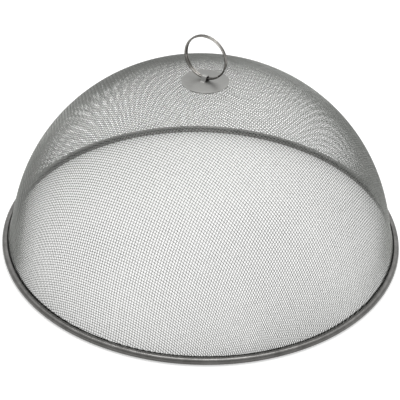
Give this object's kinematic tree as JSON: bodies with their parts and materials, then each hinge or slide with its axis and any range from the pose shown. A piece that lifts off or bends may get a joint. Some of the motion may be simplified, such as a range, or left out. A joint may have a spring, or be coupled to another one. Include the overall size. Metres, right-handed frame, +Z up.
{
  "type": "mesh food cover",
  "caption": "Domed food cover of woven steel wire cloth with a rolled steel rim, a crown plate and a folding split ring to lift it by.",
  "frame": {"origin": "middle of the rim on the surface that it stands on", "axes": "+Z up through the crown; X along the plane of the upright ring and one wire direction of the weave; Y along the ring's axis and the bridge strap"},
  "size_m": [0.35, 0.35, 0.1948],
  "materials": {
    "cloth": "drawn steel wire, dull",
    "rim": "rolled sheet steel, satin",
    "hoop": "drawn steel wire, plain",
    "plate": "pressed sheet steel, satin",
    "ring": "nickel plated spring steel, bright"
  },
  "bodies": {
    "cover": {"mesh_dome": "cloth", "rim_band": "rim", "rim_wire": "hoop", "top_plate": "plate", "inner_plate": "plate"},
    "ring": {"split_ring": "ring"}
  },
  "joints": [
    {"name": "ring_fold", "type": "hinge", "parent": "cover", "child": "ring", "pos_m": [0, 0, 0.15661], "axis": [1, 0, 0], "range_deg": [-90, 90]}
  ]
}
